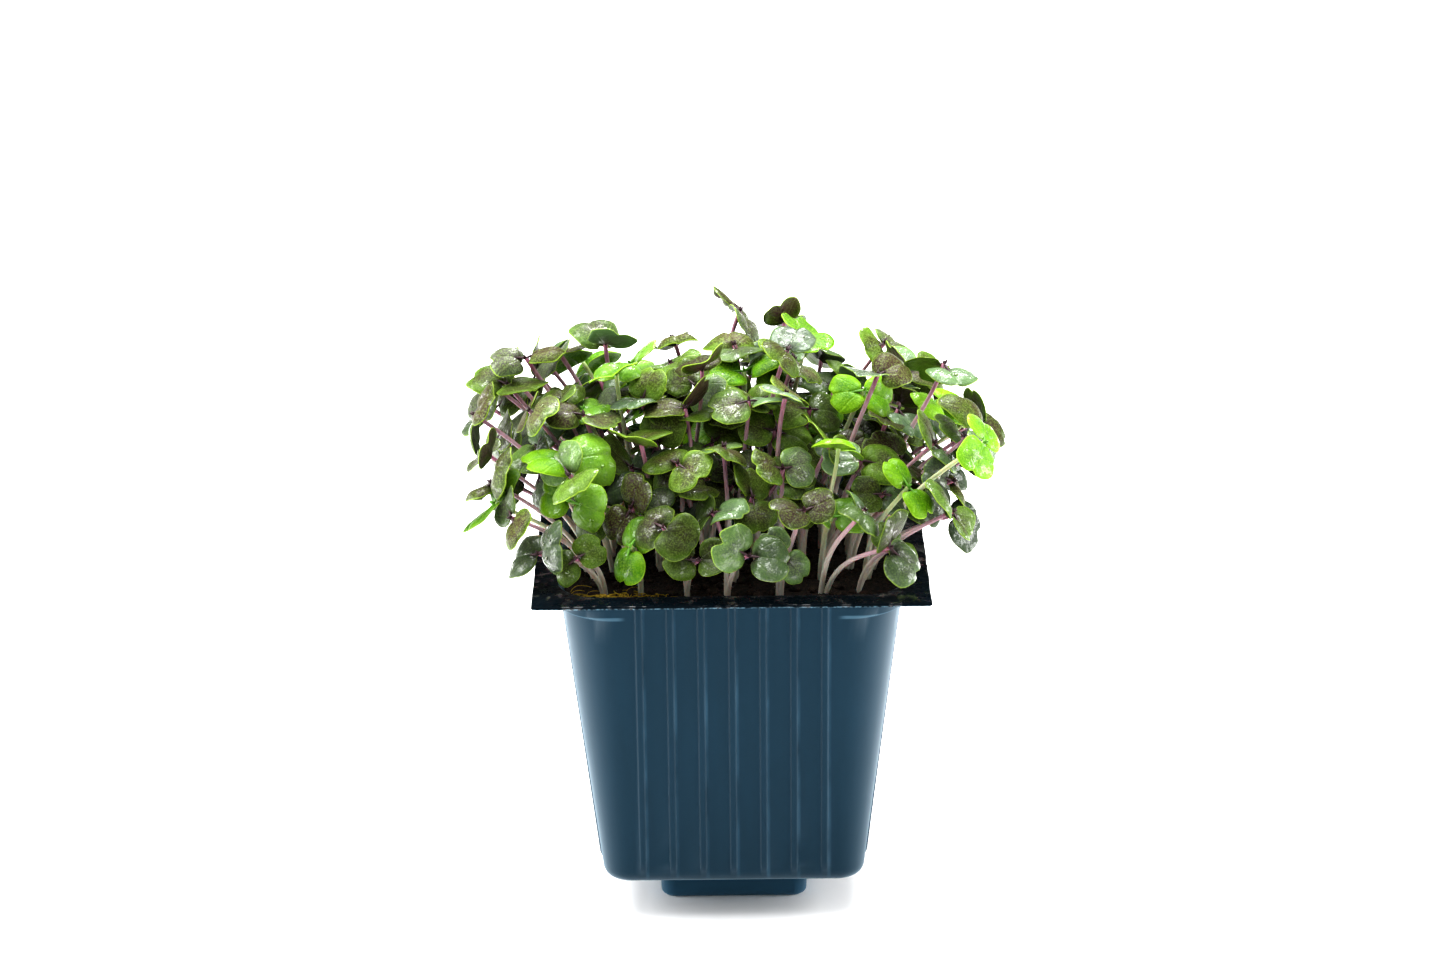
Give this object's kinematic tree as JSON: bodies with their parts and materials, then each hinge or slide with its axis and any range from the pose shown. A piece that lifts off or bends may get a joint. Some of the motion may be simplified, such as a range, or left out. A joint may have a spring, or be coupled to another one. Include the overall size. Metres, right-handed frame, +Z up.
{
  "type": "potted basil seedlings",
  "caption": "Square ribbed nursery pot with a wide flat rim and a small foot, filled with soil and a dense stand of young dark opal basil.",
  "frame": {"origin": "centre of the underside of the pot's foot", "axes": "+Z up; -Y is the side the picture shows; +X is to its right"},
  "size_m": [0.1256, 0.1, 0.1327],
  "materials": {
    "pot_plastic": "satin",
    "soil": "matte",
    "basil_dark": "satin",
    "basil_green": "satin"
  },
  "bodies": {
    "root": {"pot": "pot_plastic", "soil": "soil", "seedlings_01": "basil_dark", "seedlings_02": "basil_green", "seedlings_03": "basil_dark", "seedlings_04": "basil_dark", "seedlings_05": "basil_dark", "seedlings_06": "basil_dark", "seedlings_07": "basil_dark", "seedlings_08": "basil_dark", "seedlings_09": "basil_dark", "seedlings_10": "basil_dark", "seedlings_11": "basil_dark", "seedlings_12": "basil_dark", "seedlings_13": "basil_green", "seedlings_14": "basil_green", "seedlings_15": "basil_dark", "seedlings_16": "basil_dark", "seedlings_17": "basil_dark", "seedlings_18": "basil_dark", "seedlings_19": "basil_dark", "seedlings_20": "basil_dark", "seedlings_21": "basil_dark", "seedlings_22": "basil_dark", "seedlings_23": "basil_green", "seedlings_24": "basil_dark", "seedlings_25": "basil_dark", "seedlings_26": "basil_dark", "seedlings_27": "basil_green", "seedlings_28": "basil_dark", "seedlings_29": "basil_dark", "seedlings_30": "basil_dark", "seedlings_31": "basil_dark", "seedlings_32": "basil_green", "seedlings_33": "basil_dark", "seedlings_34": "basil_dark", "seedlings_35": "basil_green", "seedlings_36": "basil_dark", "seedlings_37": "basil_dark", "seedlings_38": "basil_dark", "seedlings_39": "basil_dark", "seedlings_40": "basil_green", "seedlings_41": "basil_dark", "seedlings_42": "basil_dark", "seedlings_43": "basil_dark", "seedlings_44": "basil_green", "seedlings_45": "basil_dark", "seedlings_46": "basil_dark", "seedlings_47": "basil_dark", "seedlings_48": "basil_dark", "seedlings_49": "basil_dark"}
  },
  "joints": []
}
